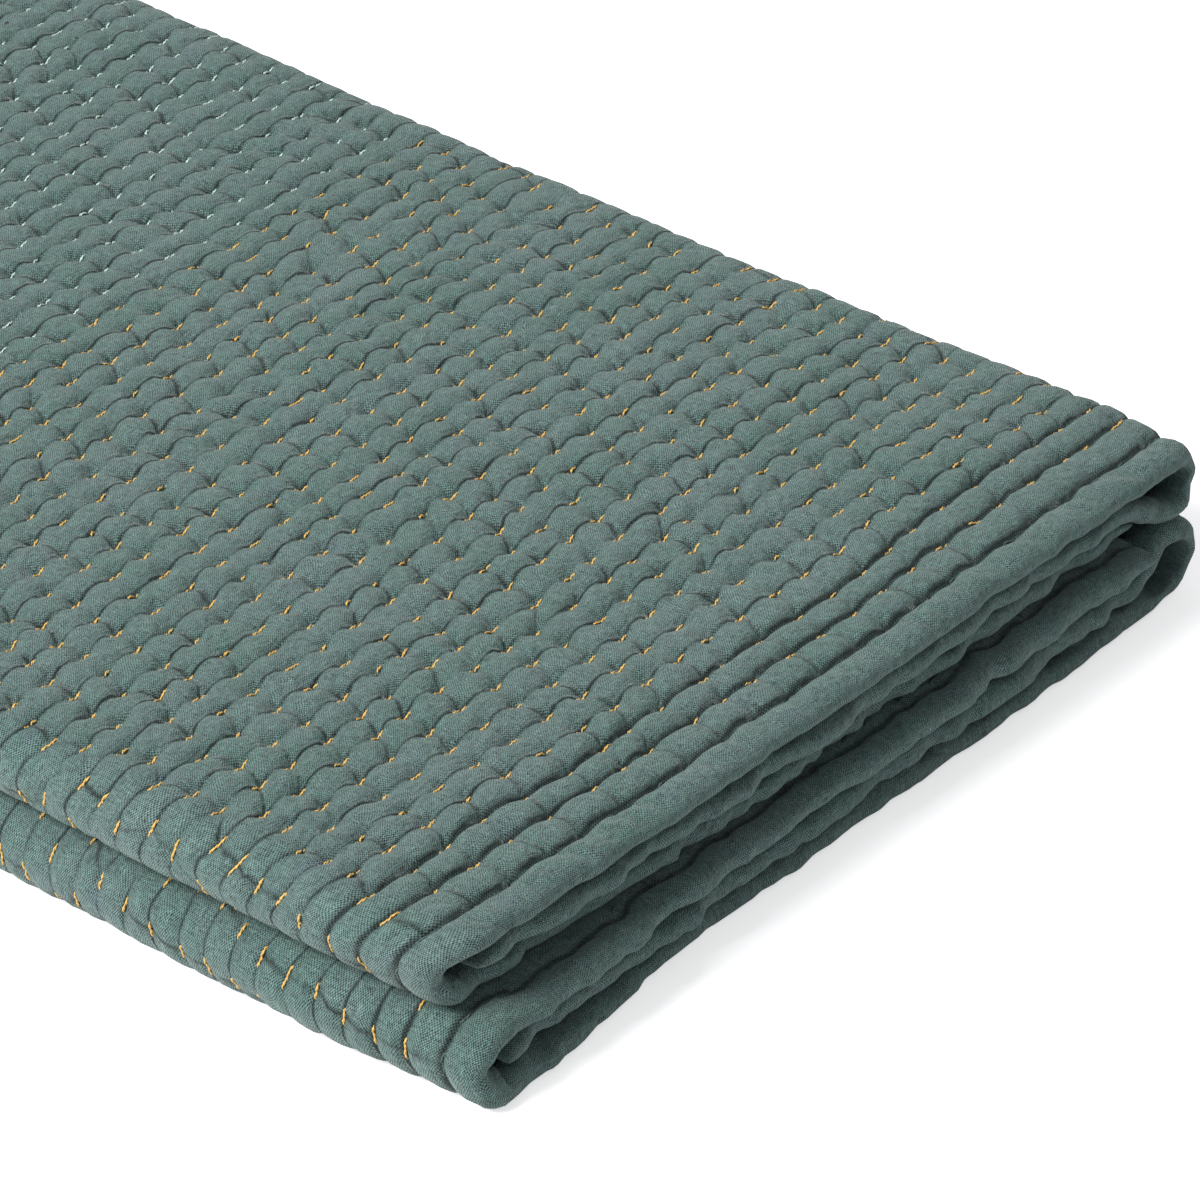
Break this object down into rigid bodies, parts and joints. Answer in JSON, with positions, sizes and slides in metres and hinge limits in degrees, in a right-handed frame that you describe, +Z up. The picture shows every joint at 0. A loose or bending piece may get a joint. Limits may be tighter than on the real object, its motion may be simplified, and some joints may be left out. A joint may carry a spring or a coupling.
{
  "type": "kantha quilt",
  "caption": "Padded cotton quilt with rows of running stitch, rolled in thirds and folded once across, lying flat.",
  "frame": {"origin": "under the middle of the folded quilt, on the surface it lies on", "axes": "+Z up through the six layers, +Y from the hems to the rear fold, +X along the hems"},
  "size_m": [0.3838, 0.544, 0.0574],
  "materials": {
    "quilted_cotton": "matt hand-quilted cotton, grey-green, with mustard and pale green running stitches"
  },
  "bodies": {
    "root": {"quilt": "quilted_cotton"}
  },
  "joints": []
}
